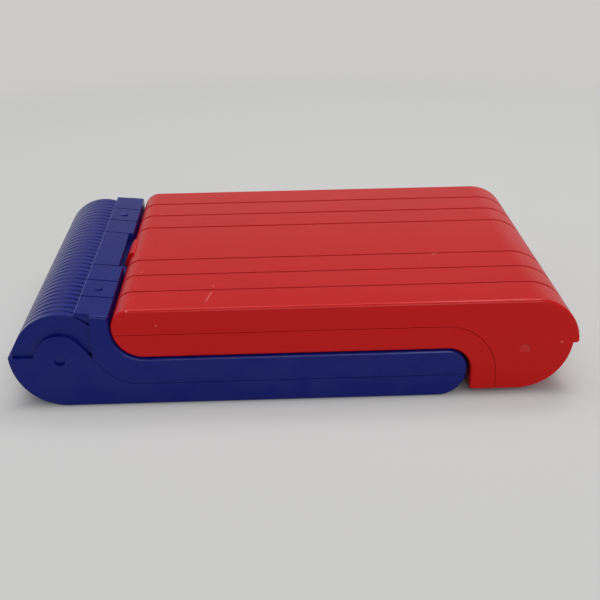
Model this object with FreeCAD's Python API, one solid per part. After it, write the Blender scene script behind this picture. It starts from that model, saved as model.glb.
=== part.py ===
import FreeCAD
import Part
import math
import os

# Toy laptop computer: a blue keyboard base and a red screen lid that closes over it.
# Millimetres. X runs from the hinge end to the front end, Y across, Z up from the table.

# Overall size of the closed toy
LENGTH = 365.0
WIDTH = 258.0
HEIGHT = 66.0
WALL = 2.4
EDGE_ROUND = 2.2
SEAM_GAP = 0.6
PART_GAP = 0.3

# Base: heel, ledge, front end and the seam between its tray and its deck
PAD_PROUD = 0.6
LEDGE_RISE = 2.0
HEEL_ROUND = 37.0
BASE_FRONT_SETBACK = 71.9
BASE_FRONT_TOP_ROUND = 13.3
TRAY_SEAM_Z = 15.3
TRAY_SEAM_ROUND = 30.3
TRAY_SEAM_SETBACK = 83.0

# Battery barrel: boss, snap pins and the ribbed cover that rolls around them
AXLE_SETBACK = 33.0
BOSS_ROUND = 16.6
SNAP_PIN_RADIUS = 3.6
SNAP_PIN_CLEARANCE = 0.05
COVER_TOP_DROP = 3.0
COVER_THICKNESS = 2.0
COVER_SIDE_CLEARANCE = 0.5
ROLL_CLEARANCE = 0.8
COVER_START_ANGLE = 58.0
COVER_END_ANGLE = 176.0
EAR_START_ANGLE = 10.0
SNAP_RAMP_ANGLE = 18.0
RIB_COUNT = 34
RIB_GROOVE_WIDTH = 2.4
RIB_GROOVE_DEPTH = 1.0
EAR_HUB_RADIUS = 8.0

# Strip between the barrel and the lid
STRIP_LEFT_OFFSET = 11.0
STRIP_CREASE_OFFSET = 20.7
STRIP_LEFT_DROP = 1.7
STRIP_CREASE_DROP = 2.75
STRIP_FRONT_DROP = 4.0
STRIP_FRONT_SETBACK = 65.2
STRIP_DOT_RADIUS = 3.5
STRIP_DOT_HEIGHT = 0.4
STRIP_DOT_INSET = 9.3
STRIP_DOT_Y = 81.0
NOTCH_DEPTH = 3.0
NOTCH_HEIGHT = 11.0

# Grooves across the lid and the strip
GROOVE_WIDTH = 1.3
GROOVE_DEPTH = 0.7
GROOVE_FIRST_Y = 35.9
GROOVE_PITCH = 30.2
GROOVES_PER_SIDE = 3

# Lid: hinge end, hood, foot and the seam between its shell and its bezel
PIVOT_SETBACK = 87.0
LID_END_ROUND = 12.0
HOOD_ROUND = 29.0
HOOD_LIP_ROUND = 2.0
HOOD_LIP_FLAT = 2.5
HOOD_UNDER_RISE = 5.7
FOOT_Z = 5.2
FRONT_GAP = 2.0
LID_INNER_ROUND = 14.5
LID_SEAM_DROP = 16.8
LID_SEAM_ROUND = 32.0
LID_SEAM_SETBACK = 85.5
HOOD_PIN_SETBACK = 35.0
HOOD_PIN_DROP = 5.0

# Lid hinge: pin, posts on the deck and knuckle on the lid
HINGE_PIN_RADIUS = 3.0
HINGE_CLEARANCE = 0.05
POST_ANGLE = 312.0
POST_HALF_WIDTH = 5.5
POST_HEAD_RADIUS = 6.5
POST_THICKNESS = 8.8
POST_SIDE_CLEARANCE = 0.4
POST_SWING_CLEARANCE = 0.8
KNUCKLE_HALF_WIDTH = 14.9
KNUCKLE_PROUD = 2.0
KNUCKLE_CLEARANCE = 0.8
KNUCKLE_START_ANGLE = 130.0
KNUCKLE_END_ANGLE = 222.0
KNUCKLE_SLACK_ANGLE = 0.8
LID_OPEN_ANGLE = 110.0
HINGE_WEB_THICKNESS = 3.0

# Keyboard
WELL_REAR_MARGIN = 38.5
WELL_FRONT_MARGIN = 19.6
WELL_SIDE_MARGIN = 16.0
WELL_DEPTH = 5.7
WELL_CORNER_ROUND = 8.0
WELL_FLOOR = 2.5
KEY_GAP = 5.0
KEY_ROW_GAP = 7.0
KEY_SIDE_EDGE = 7.5
KEY_FRONT_EDGE = 9.5
KEY_REAR_EDGE = 15.5
KEY_CORNER_ROUND = 3.0
KEY_TOP_CHAMFER = 0.9
KEY_BELOW_RIM = 1.2
KEY_CLEARANCE = 0.35
KEY_FLANGE = 1.2
KEY_FLANGE_LIP = 1.1
KEY_TRAVEL = 2.5
KEY_WALL = 2.2
KEY_ROOF = 3.5
LETTER_ROWS = ("ABCDEFGHI", "JKLMNOPQR", "STUVWXYZ")
FUNCTION_KEYS = ("key_quiz", "key_music", "key_repeat")
WIDE_KEY_PLACE_COUNT = 2
SPACE_BAR_PLACE_COUNT = 4
SWITCH_SIDE_EDGE = 36.2
SWITCH_TRAVEL = 6.0
SWITCH_KNOB = 9.0
SWITCH_STEM = 4.0
SHEET_THICKNESS = 0.8
DOME_RADIUS = 4.5
DOME_HEIGHT = 1.5
BOARD_THICKNESS = 1.6
BOARD_MARGIN = 2.0
BOARD_POST_RADIUS = 4.0
CHIP_HALF_SIZE = 24.0

# Batteries: four C cells in line
CELL_RADIUS = 13.1
CELL_LENGTH = 50.0
CELL_COUNT = 4
CELL_DROP = 9.0
CELL_CAP_RADIUS = 3.0
CELL_CAP_HEIGHT = 1.5
CELL_CLEARANCE = 0.3
CRADLE_WALL = 2.0
CRADLE_LEG_WIDTH = 12.0
CONTACT_THICKNESS = 0.8
CONTACT_SPRING_LENGTH = 4.0
CONTACT_SPRING_WIRE_RADIUS = 0.4
CONTACT_SPRING_RADIUS = 4.0
CONTACT_SPRING_TURNS = 2
CONTACT_SPRING_CLEARANCE = 0.05

# Screen, boards and speaker in the lid
SCREEN_REAR_MARGIN = 63.5
SCREEN_FRONT_MARGIN = 30.1
SCREEN_SIDE_MARGIN = 44.0
SCREEN_CORNER_ROUND = 7.0
LENS_OVERLAP = 4.0
LENS_THICKNESS = 1.6
PANEL_THICKNESS = 2.6
CHIP_HEIGHT = 2.5
SPEAKER_RADIUS = 19.0
SPEAKER_AXIS_ANGLE = -62.0
SPEAKER_RING_WALL = 2.0
SPEAKER_RIM = 2.5
SPEAKER_DEPTH = 9.0
SPEAKER_MAGNET_RADIUS = 9.0
GRILLE_SLOTS = 7
GRILLE_SLOT_WIDTH = 2.0
GRILLE_SLOT_PITCH = 4.4
HOOD_COVER_THICKNESS = 2.0
STOP_NUB_RADIUS = 3.0

# Screws and foot pads
SCREW_BOSS_RADIUS = 4.2
SCREW_RADIUS = 1.5
SCREW_CLEARANCE = 0.1
SCREW_HEAD_RADIUS = 2.9
SCREW_HEAD_HEIGHT = 2.0
SCREW_HEAD_CLEARANCE = 0.3
SCREW_SEAT_WALL = 4.0
SCREW_GRIP = 10.0
SCREW_RECESS_SLOT = 1.0
SCREW_EDGE = 9.6
SCREW_REAR_MARGIN = 19.5
SCREW_FRONT_MARGIN = 18.6
LID_SCREW_REAR_MARGIN = 37.5
LID_SCREW_FRONT_MARGIN = 10.1
LID_SCREW_EDGE = 21.0
PAD_RADIUS = 8.0
PAD_SUNK = 1.0
PAD_CLEARANCE = 0.2
PAD_REAR_SETBACK = 64.5
PAD_FRONT_MARGIN = 32.6
PAD_EDGE = 25.0

# Places worked out from the sizes above
half = WIDTH / 2
rear_x = -LENGTH / 2
front_x = LENGTH / 2
deck_z = HEIGHT / 2 - SEAM_GAP / 2
lid_under_z = HEIGHT / 2 + SEAM_GAP / 2
floor_z = PAD_PROUD + WALL
inner_half = half - WALL

axle_x = rear_x + AXLE_SETBACK
axle_z = HEIGHT / 2
ledge_z = axle_z + LEDGE_RISE
heel_z = PAD_PROUD + HEEL_ROUND
heel_x = rear_x + math.sqrt(HEEL_ROUND**2 - (heel_z - ledge_z)**2)
base_front_x = front_x - BASE_FRONT_SETBACK
front_low_round = deck_z - PAD_PROUD - BASE_FRONT_TOP_ROUND
front_mid_z = PAD_PROUD + front_low_round
front_low_x = base_front_x - front_low_round
front_top_x = base_front_x - BASE_FRONT_TOP_ROUND
tray_seam_x = rear_x + TRAY_SEAM_SETBACK

pivot_x = rear_x + PIVOT_SETBACK
pivot_z = HEIGHT - LID_END_ROUND
lid_end_radius = pivot_z - lid_under_z
seat_radius = pivot_z - deck_z
lid_corner_x = pivot_x - lid_end_radius + LID_END_ROUND

strip_left_x = axle_x + STRIP_LEFT_OFFSET
crease_x = axle_x + STRIP_CREASE_OFFSET
strip_front_x = rear_x + STRIP_FRONT_SETBACK
strip_left_z = HEIGHT - STRIP_LEFT_DROP
crease_z = HEIGHT - STRIP_CREASE_DROP
strip_front_z = HEIGHT - STRIP_FRONT_DROP
cover_half = inner_half - COVER_SIDE_CLEARANCE
cover_radius = axle_z - COVER_TOP_DROP

hood_x = front_x - HOOD_ROUND
hood_z = HEIGHT - HOOD_ROUND
hood_lip_z = hood_z - HOOD_LIP_ROUND
under_z = hood_lip_z + HOOD_UNDER_RISE
under_round = under_z - FOOT_Z
under_lip_x = front_x - HOOD_LIP_ROUND - HOOD_LIP_FLAT
under_x = under_lip_x - math.sqrt(under_round**2 - HOOD_UNDER_RISE**2)
hood_wall_x = base_front_x + FRONT_GAP
lid_inner_x = hood_wall_x - LID_INNER_ROUND
lid_inner_z = lid_under_z - LID_INNER_ROUND
lid_seam_x = front_x - LID_SEAM_SETBACK
lid_seam_z = HEIGHT - LID_SEAM_DROP
lid_seam_end_x = lid_seam_x + LID_SEAM_ROUND
lid_seam_end_z = lid_seam_z - LID_SEAM_ROUND
hood_pin_x = front_x - HOOD_PIN_SETBACK
hood_pin_z = hood_z - HOOD_PIN_DROP
screen_rear_x = pivot_x + SCREEN_REAR_MARGIN
screen_front_x = lid_inner_x - SCREEN_FRONT_MARGIN
screen_half = half - SCREEN_SIDE_MARGIN

well_rear_x = pivot_x + WELL_REAR_MARGIN
well_front_x = base_front_x - WELL_FRONT_MARGIN
well_half = half - WELL_SIDE_MARGIN
key_places = max(len(letters) for letters in LETTER_ROWS)
key_pitch = (2 * (well_half - KEY_SIDE_EDGE) + KEY_GAP) / key_places
key_row_count = len(LETTER_ROWS) + 2
key_rows_length = well_front_x - KEY_FRONT_EDGE - well_rear_x - KEY_REAR_EDGE
key_row_pitch = (key_rows_length + KEY_ROW_GAP) / key_row_count
key_depth = key_row_pitch - KEY_ROW_GAP
function_row_x = well_rear_x + KEY_REAR_EDGE + key_depth / 2
first_row_x = function_row_x + key_row_pitch
bottom_row_x = first_row_x + len(LETTER_ROWS) * key_row_pitch
switch_y = well_half - SWITCH_SIDE_EDGE
well_z = deck_z - WELL_DEPTH
well_under_z = well_z - WELL_FLOOR
key_top_z = deck_z - KEY_BELOW_RIM
flange_top_z = well_under_z - PART_GAP
flange_low_z = flange_top_z - KEY_FLANGE
sheet_top_z = flange_low_z - KEY_TRAVEL - PART_GAP
board_top_z = sheet_top_z - SHEET_THICKNESS
board_low_z = board_top_z - BOARD_THICKNESS

cell_z = axle_z - CELL_DROP
cells_half = CELL_COUNT * CELL_LENGTH / 2
cradle_half = cells_half + CONTACT_SPRING_LENGTH + CONTACT_THICKNESS + CRADLE_WALL

groove_places = []
for step in range(GROOVES_PER_SIDE):
    for side in (-1, 1):
        groove_places.append(side * (GROOVE_FIRST_Y + step * GROOVE_PITCH))


class Outline:
    """A closed outline in the side view, drawn from lines and arcs."""

    def __init__(self, x, z):
        self.start = FreeCAD.Vector(x, 0, z)
        self.here = self.start
        self.edges = []
        self.soft_middles = []

    def add(self, curve, end, middle, soft):
        self.edges.append(curve.toShape())
        self.here = end
        if soft:
            self.soft_middles.append(middle)

    def line(self, x, z, soft=False):
        end = FreeCAD.Vector(x, 0, z)
        self.add(Part.LineSegment(self.here, end), end, (self.here + end) * 0.5, soft)
        return self

    def arc(self, centre_x, centre_z, x, z, turn, soft=False):
        """An arc to x, z: turn is 1 for anticlockwise and -1 for clockwise."""
        centre = FreeCAD.Vector(centre_x, 0, centre_z)
        end = FreeCAD.Vector(x, 0, z)
        first = math.atan2(self.here.z - centre_z, self.here.x - centre_x)
        last = math.atan2(z - centre_z, x - centre_x)
        if turn * (last - first) < 0:
            last += turn * 2 * math.pi
        radius = (self.here - centre).Length
        halfway = (first + last) / 2
        middle = centre + FreeCAD.Vector(math.cos(halfway), 0, math.sin(halfway)) * radius
        self.add(Part.Arc(self.here, middle, end), end, middle, soft)
        return self

    def face(self):
        if (self.here - self.start).Length > 1e-6:
            self.line(self.start.x, self.start.z)
        return Part.Face(Part.Wire(Part.__sortEdges__(self.edges)))

    def solid(self, y_from, y_to):
        return thick(self.face(), y_from, y_to)

    def rounded(self, half_width, radius):
        """The full-width solid, with its soft side edges rounded off."""
        block = self.solid(-half_width, half_width)
        picked = []
        for edge in block.Edges:
            middle = edge.valueAt((edge.FirstParameter + edge.LastParameter) / 2)
            if abs(abs(middle.y) - half_width) > 1e-6:
                continue
            flat = FreeCAD.Vector(middle.x, 0, middle.z)
            if any((flat - soft).Length < 1e-3 for soft in self.soft_middles):
                picked.append(edge)
        return block.makeFillet(radius, picked)


def thick(face, y_from, y_to):
    moved = face.copy()
    moved.translate(FreeCAD.Vector(0, y_from, 0))
    return moved.extrude(FreeCAD.Vector(0, y_to - y_from, 0))


def polar(x, z, radius, degrees):
    angle = math.radians(degrees)
    return x + radius * math.cos(angle), z + radius * math.sin(angle)


def cross_rod(x, z, radius, y_from, y_to):
    return Part.makeCylinder(radius, y_to - y_from, FreeCAD.Vector(x, y_from, z), FreeCAD.Vector(0, 1, 0))


def upright_rod(x, y, radius, z_from, z_to):
    return Part.makeCylinder(radius, z_to - z_from, FreeCAD.Vector(x, y, z_from))


def box(x_from, x_to, y_from, y_to, z_from, z_to):
    corner = FreeCAD.Vector(x_from, y_from, z_from)
    return Part.makeBox(x_to - x_from, y_to - y_from, z_to - z_from, corner)


def soft_plate(x_from, x_to, y_from, y_to, z_from, z_to, radius):
    """A flat plate with its four upright edges rounded."""
    plate = box(x_from, x_to, y_from, y_to, z_from, z_to)
    upright = [edge for edge in plate.Edges if abs(edge.tangentAt(edge.FirstParameter).z) > 0.99]
    return plate.makeFillet(radius, upright)


def wedge(x, z, radius, angle_from, angle_to, y_from, y_to):
    """A slice of a disc, anticlockwise from one angle to the other."""
    shape = Outline(x, z)
    shape.line(*polar(x, z, radius, angle_from))
    shape.arc(x, z, *polar(x, z, radius, angle_to), 1)
    return shape.solid(y_from, y_to)


def arm(x, z, degrees, reach, half_width, head_radius, y_from, y_to):
    """A straight arm that leaves a round head at x, z in the given direction."""
    along = box(0, reach, y_from, y_to, -half_width, half_width)
    along.rotate(FreeCAD.Vector(0, 0, 0), FreeCAD.Vector(0, -1, 0), degrees)
    along.translate(FreeCAD.Vector(x, 0, z))
    return along.fuse(cross_rod(x, z, head_radius, y_from, y_to))


def both_sides(maker):
    """The near and far copies of one feature, as a list."""
    return [maker(-1), maker(1)]


def mirrored_span(side, inner, outer):
    """The y range between two distances from the middle, on one side."""
    return sorted((side * inner, side * outer))


def inner_tangent(x1, z1, r1, x2, z2, r2):
    """Where the line that runs between two circles touches each of them."""
    towards = math.degrees(math.atan2(z2 - z1, x2 - x1))
    spread = math.degrees(math.acos((r1 + r2) / math.hypot(x2 - x1, z2 - z1)))
    first = polar(x1, z1, r1, towards + spread)
    second = polar(x2, z2, r2, towards + spread + 180)
    return first, second


nodes = {}

# Side outlines of the base tray and the keyboard deck
tray_seam_centre_z = TRAY_SEAM_Z + TRAY_SEAM_ROUND
boss_leave, seam_meet = inner_tangent(
    axle_x, axle_z, BOSS_ROUND, tray_seam_x, tray_seam_centre_z, TRAY_SEAM_ROUND)
boss_left_x = axle_x - math.sqrt(BOSS_ROUND**2 - (ledge_z - axle_z)**2)
front_at_seam_x = front_low_x + math.sqrt(front_low_round**2 - (front_mid_z - TRAY_SEAM_Z)**2)

tray_outline = Outline(rear_x, ledge_z)
tray_outline.line(boss_left_x, ledge_z)
tray_outline.arc(axle_x, axle_z, *boss_leave, -1)
tray_outline.line(*seam_meet)
tray_outline.arc(tray_seam_x, tray_seam_centre_z, tray_seam_x, TRAY_SEAM_Z, 1)
tray_outline.line(front_at_seam_x, TRAY_SEAM_Z)
tray_outline.arc(front_low_x, front_mid_z, front_low_x, PAD_PROUD, -1, soft=True)
tray_outline.line(heel_x, PAD_PROUD, soft=True)
tray_outline.arc(heel_x, heel_z, rear_x, ledge_z, -1, soft=True)

deck_seam_z = TRAY_SEAM_Z + PART_GAP
deck_seam_round = TRAY_SEAM_ROUND - PART_GAP
deck_leave, deck_meet = inner_tangent(
    axle_x, axle_z, BOSS_ROUND + PART_GAP, tray_seam_x, tray_seam_centre_z, deck_seam_round)
slope = (deck_meet[1] - deck_leave[1]) / (deck_meet[0] - deck_leave[0])
crease_low_z = deck_meet[1] + slope * (crease_x - deck_meet[0])
front_at_deck_x = front_low_x + math.sqrt(front_low_round**2 - (front_mid_z - deck_seam_z)**2)

deck_outline = Outline(crease_x, crease_z)
deck_outline.line(strip_front_x, strip_front_z, soft=True)
deck_outline.line(pivot_x - seat_radius, pivot_z)
deck_outline.arc(pivot_x, pivot_z, pivot_x, deck_z, 1)
deck_outline.line(front_top_x, deck_z, soft=True)
deck_outline.arc(front_top_x, front_mid_z, base_front_x, front_mid_z, -1, soft=True)
deck_outline.arc(front_low_x, front_mid_z, front_at_deck_x, deck_seam_z, -1, soft=True)
deck_outline.line(tray_seam_x, deck_seam_z)
deck_outline.arc(tray_seam_x, tray_seam_centre_z, *deck_meet, -1)
deck_outline.line(crease_x, crease_low_z)

# The hollow inside the whole base, one wall in from its outline
base_outline = Outline(rear_x, ledge_z)
base_outline.line(rear_x, strip_left_z)
base_outline.line(crease_x, crease_z)
base_outline.line(strip_front_x, strip_front_z)
base_outline.line(pivot_x - seat_radius, pivot_z)
base_outline.arc(pivot_x, pivot_z, pivot_x, deck_z, 1)
base_outline.line(front_top_x, deck_z)
base_outline.arc(front_top_x, front_mid_z, base_front_x, front_mid_z, -1)
base_outline.arc(front_low_x, front_mid_z, front_low_x, PAD_PROUD, -1)
base_outline.line(heel_x, PAD_PROUD)
base_outline.arc(heel_x, heel_z, rear_x, ledge_z, -1)
base_hollow = thick(base_outline.face().makeOffset2D(-WALL), -inner_half, inner_half)

# Screw places shared by the tray, the deck and the screws
case_screw_y = half - SCREW_EDGE
case_rear_x = pivot_x + SCREW_REAR_MARGIN
case_front_x = base_front_x - SCREW_FRONT_MARGIN
case_screw_places = []
for screw_x in (case_rear_x, (case_rear_x + case_front_x) / 2, case_front_x):
    for side in (-1, 1):
        case_screw_places.append((screw_x, side * case_screw_y))
case_seat_z = TRAY_SEAM_Z - SCREW_SEAT_WALL
bore_radius = SCREW_RADIUS + SCREW_CLEARANCE
counterbore_radius = SCREW_HEAD_RADIUS + SCREW_HEAD_CLEARANCE

# Base tray: floor, heel, low walls, the two bosses, screw bosses and board posts
tray = tray_outline.rounded(half, EDGE_ROUND).cut(base_hollow)
pad_rows = (rear_x + PAD_REAR_SETBACK, base_front_x - PAD_FRONT_MARGIN)
pad_places = [(x, side * (half - PAD_EDGE)) for x in pad_rows for side in (-1, 1)]
board_post_places = []
for post_x in (well_rear_x + WELL_CORNER_ROUND, well_front_x - WELL_CORNER_ROUND):
    for post_y in (-well_half / 2, 0, well_half / 2):
        board_post_places.append((post_x, post_y))
tray_bosses = [upright_rod(x, y, SCREW_BOSS_RADIUS, PAD_PROUD, TRAY_SEAM_Z) for x, y in case_screw_places]
tray_posts = [upright_rod(x, y, BOARD_POST_RADIUS, floor_z - WALL / 2, board_low_z)
              for x, y in board_post_places]
pad_seat_z = PAD_PROUD + PAD_SUNK
pad_hollow_radius = PAD_RADIUS + PAD_CLEARANCE
pad_seats = [upright_rod(x, y, pad_hollow_radius + WALL, floor_z - WALL / 2, pad_seat_z + WALL)
             for x, y in pad_places]
tray = tray.fuse(tray_bosses + tray_posts + pad_seats).removeSplitter()
tray_cuts = [upright_rod(x, y, bore_radius, PAD_PROUD, HEIGHT) for x, y in case_screw_places]
tray_cuts += [upright_rod(x, y, counterbore_radius, 0, case_seat_z) for x, y in case_screw_places]
tray_cuts += [upright_rod(x, y, pad_hollow_radius, 0, pad_seat_z) for x, y in pad_places]
snap_hole_radius = SNAP_PIN_RADIUS + SNAP_PIN_CLEARANCE
tray_cuts.append(cross_rod(axle_x, axle_z, snap_hole_radius, -half - WALL, half + WALL))
nodes["base_tray"] = tray.cut(tray_cuts)

# Keyboard deck: outer block with the strip, before its recesses
roll_radius = cover_radius + ROLL_CLEARANCE
strip_low_z = axle_z
strip_outline = Outline(strip_left_x, strip_left_z)
strip_outline.line(crease_x, crease_z)
strip_outline.line(crease_x + WALL, crease_z - WALL)
strip_outline.line(crease_x + WALL, strip_low_z)
strip_outline.line(strip_left_x, strip_low_z)
strip_rear = strip_outline.solid(-cover_half, cover_half)
deck_block = deck_outline.rounded(half, EDGE_ROUND)

# Hollows that keep a wall behind the key well, the strip notch and the knuckle
knuckle_radius = lid_end_radius + KNUCKLE_PROUD
relief_radius = knuckle_radius + KNUCKLE_CLEARANCE
relief_half = KNUCKLE_HALF_WIDTH + POST_SIDE_CLEARANCE
notch_half = GROOVE_FIRST_Y - GROOVE_WIDTH / 2
notch_x = strip_front_x - NOTCH_DEPTH
notch_low_z = HEIGHT - NOTCH_HEIGHT
well = soft_plate(well_rear_x, well_front_x, -well_half, well_half, well_z, HEIGHT, WELL_CORNER_ROUND)
well_wall = soft_plate(
    well_rear_x - WALL, well_front_x + WALL, -well_half - WALL, well_half + WALL,
    well_under_z, HEIGHT, WELL_CORNER_ROUND + WALL)
notch = box(notch_x, pivot_x, -notch_half, notch_half, notch_low_z, HEIGHT)
notch_wall = box(notch_x - WALL, pivot_x, -notch_half - WALL, notch_half + WALL, notch_low_z - WALL, HEIGHT)
relief = cross_rod(pivot_x, pivot_z, relief_radius, -relief_half, relief_half)
relief_wall = cross_rod(pivot_x, pivot_z, relief_radius + WALL, -relief_half - WALL, relief_half + WALL)
deck_hollow = base_hollow.cut([well_wall, notch_wall, relief_wall])
roll_space = cross_rod(axle_x, axle_z, roll_radius, -inner_half, inner_half)
strip_ends = both_sides(lambda side: strip_outline.solid(*mirrored_span(side, cover_half - WALL, cover_half)))
strip_ends = [end.cut(roll_space) for end in strip_ends]
deck = deck_block.fuse(strip_rear).cut([deck_hollow, roll_space]).fuse(strip_ends)

# Posts that carry the lid hinge, screw bosses and dots on the strip
post_inner = relief_half
post_outer = post_inner + POST_THICKNESS
post_reach = (pivot_z - deck_z + WALL / 2) / math.sin(math.radians(360 - POST_ANGLE))


def hinge_post(side):
    y_from, y_to = mirrored_span(side, post_inner + POST_SIDE_CLEARANCE, post_outer)
    return arm(pivot_x, pivot_z, POST_ANGLE, post_reach, POST_HALF_WIDTH, POST_HEAD_RADIUS, y_from, y_to)


dot_x = strip_left_x + STRIP_DOT_INSET
dot_z = strip_left_z + (crease_z - strip_left_z) * (dot_x - strip_left_x) / (crease_x - strip_left_x)
dots = both_sides(lambda side: upright_rod(
    dot_x, side * STRIP_DOT_Y, STRIP_DOT_RADIUS, dot_z - STRIP_DOT_HEIGHT, dot_z + STRIP_DOT_HEIGHT))
deck_bosses = [upright_rod(x, y, SCREW_BOSS_RADIUS, TRAY_SEAM_Z, deck_z - WALL / 2)
               for x, y in case_screw_places]
deck = deck.fuse(both_sides(hinge_post) + dots + deck_bosses).removeSplitter()

# Key table: name, middle x, middle y, size along y
keys = []


def add_key(name, row_x, middle_y, places):
    """A key that takes up so many letter places along its row."""
    keys.append((name, row_x, middle_y, places * key_pitch - KEY_GAP))


for row, letters in enumerate(LETTER_ROWS):
    first_y = -(len(letters) - 1) * key_pitch / 2
    for place, letter in enumerate(letters):
        add_key("key_" + letter.lower(), first_row_x + row * key_row_pitch, first_y + place * key_pitch, 1)
wide_key_y = (SPACE_BAR_PLACE_COUNT + WIDE_KEY_PLACE_COUNT) * key_pitch / 2
add_key("key_erase", bottom_row_x, -wide_key_y, WIDE_KEY_PLACE_COUNT)
add_key("key_space", bottom_row_x, 0, SPACE_BAR_PLACE_COUNT)
add_key("key_enter", bottom_row_x, wide_key_y, WIDE_KEY_PLACE_COUNT)
first_function_y = (WIDE_KEY_PLACE_COUNT - key_places) * key_pitch / 2
for place, name in enumerate(FUNCTION_KEYS):
    key_y = first_function_y + place * WIDE_KEY_PLACE_COUNT * key_pitch
    add_key(name, function_row_x, key_y, WIDE_KEY_PLACE_COUNT)

# Cut the deck: key well, notch, knuckle relief, grooves, key holes, switch slot and bores
key_holes = []
for name, key_x, key_y, key_length in keys:
    reach_x = key_depth / 2 + KEY_CLEARANCE
    reach_y = key_length / 2 + KEY_CLEARANCE
    key_holes.append(soft_plate(
        key_x - reach_x, key_x + reach_x, key_y - reach_y, key_y + reach_y,
        well_under_z - WALL, deck_z, KEY_CORNER_ROUND + KEY_CLEARANCE))
switch_reach = (SWITCH_STEM + SWITCH_TRAVEL) / 2 + KEY_CLEARANCE
switch_slot = box(
    function_row_x - SWITCH_STEM / 2 - KEY_CLEARANCE, function_row_x + SWITCH_STEM / 2 + KEY_CLEARANCE,
    switch_y - switch_reach, switch_y + switch_reach, well_under_z - WALL, deck_z)


def strip_groove(y):
    shape = Outline(strip_left_x - WALL, strip_left_z - GROOVE_DEPTH)
    shape.line(crease_x, crease_z - GROOVE_DEPTH)
    shape.line(strip_front_x + WALL, strip_front_z - GROOVE_DEPTH)
    shape.line(strip_front_x + WALL, HEIGHT)
    shape.line(strip_left_x - WALL, HEIGHT)
    return shape.solid(y - GROOVE_WIDTH / 2, y + GROOVE_WIDTH / 2)


deck_bores = [upright_rod(x, y, bore_radius, 0, case_seat_z + SCREW_GRIP + SCREW_SEAT_WALL + PART_GAP)
              for x, y in case_screw_places]
pin_bore_radius = HINGE_PIN_RADIUS + HINGE_CLEARANCE
post_bore = cross_rod(pivot_x, pivot_z, pin_bore_radius, -half, half)
deck = deck.cut([well, notch, relief, switch_slot, post_bore] + key_holes + deck_bores)
nodes["keyboard_deck"] = deck.cut([strip_groove(y) for y in groove_places])

# Keys: hollow caps, held in by a flange under the deck
for name, key_x, key_y, key_length in keys:
    reach_x = key_depth / 2
    reach_y = key_length / 2
    cap = soft_plate(
        key_x - reach_x, key_x + reach_x, key_y - reach_y, key_y + reach_y,
        flange_low_z, key_top_z, KEY_CORNER_ROUND)
    rim = [edge for edge in cap.Edges if edge.BoundBox.ZMin > key_top_z - 1e-3]
    cap = cap.makeChamfer(KEY_TOP_CHAMFER, rim)
    flange = box(
        key_x - reach_x - KEY_FLANGE_LIP, key_x + reach_x + KEY_FLANGE_LIP,
        key_y - reach_y - KEY_FLANGE_LIP, key_y + reach_y + KEY_FLANGE_LIP, flange_low_z, flange_top_z)
    inside = box(
        key_x - reach_x + KEY_WALL, key_x + reach_x - KEY_WALL,
        key_y - reach_y + KEY_WALL, key_y + reach_y - KEY_WALL, flange_low_z, key_top_z - KEY_ROOF)
    nodes[name] = cap.fuse(flange).cut(inside).removeSplitter()

# Power switch: knob in the well, stem through the slot, foot under the deck
switch_rest_y = switch_y - SWITCH_TRAVEL / 2
knob_reach = SWITCH_KNOB / 2
knob = soft_plate(
    function_row_x - knob_reach, function_row_x + knob_reach, switch_rest_y - knob_reach / 2,
    switch_rest_y + knob_reach / 2, well_z + PART_GAP, key_top_z, KEY_TOP_CHAMFER)
stem_reach = SWITCH_STEM / 2
stem = box(function_row_x - stem_reach, function_row_x + stem_reach, switch_rest_y - stem_reach,
           switch_rest_y + stem_reach, flange_low_z, well_z + KEY_FLANGE)
slider_foot = box(function_row_x - knob_reach, function_row_x + knob_reach, switch_rest_y - knob_reach,
                  switch_rest_y + knob_reach, flange_low_z, flange_top_z)
nodes["power_switch"] = knob.fuse([stem, slider_foot]).removeSplitter()

# Rubber dome sheet and main board under the keys
board_rear_x = well_rear_x + BOARD_MARGIN
board_front_x = well_front_x - BOARD_MARGIN
board_half = well_half - BOARD_MARGIN
sheet = box(board_rear_x, board_front_x, -board_half, board_half, board_top_z, sheet_top_z)
domes = []
for name, key_x, key_y, key_length in keys:
    domes.append(Part.makeCone(
        DOME_RADIUS, DOME_RADIUS / 2, DOME_HEIGHT, FreeCAD.Vector(key_x, key_y, sheet_top_z)))
nodes["key_dome_sheet"] = sheet.fuse(domes)
board = box(board_rear_x, board_front_x, -board_half, board_half, board_low_z, board_top_z)
chip = box(-CHIP_HALF_SIZE, CHIP_HALF_SIZE, -CHIP_HALF_SIZE, CHIP_HALF_SIZE,
           board_low_z - CHIP_HEIGHT, board_low_z)
nodes["main_board"] = board.fuse(chip)

# Battery cradle, cells and contacts in the barrel
cradle_radius = CELL_RADIUS + CELL_CLEARANCE + CRADLE_WALL
trough = wedge(axle_x, cell_z, cradle_radius, 180, 360, -cradle_half, cradle_half)
trough = trough.cut(cross_rod(axle_x, cell_z, CELL_RADIUS + CELL_CLEARANCE,
                              -cradle_half + CRADLE_WALL, cradle_half - CRADLE_WALL))
leg = box(heel_x, heel_x + CRADLE_LEG_WIDTH, -cradle_half, cradle_half, floor_z, cell_z)
leg = leg.cut(cross_rod(axle_x, cell_z, cradle_radius - CRADLE_WALL / 2, -half, half))
end_plates = both_sides(lambda side: cross_rod(
    axle_x, cell_z, CELL_RADIUS - CELL_CLEARANCE,
    *mirrored_span(side, cradle_half - CRADLE_WALL, cradle_half)))
nodes["battery_cradle"] = trough.fuse([leg] + end_plates).removeSplitter()

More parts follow.
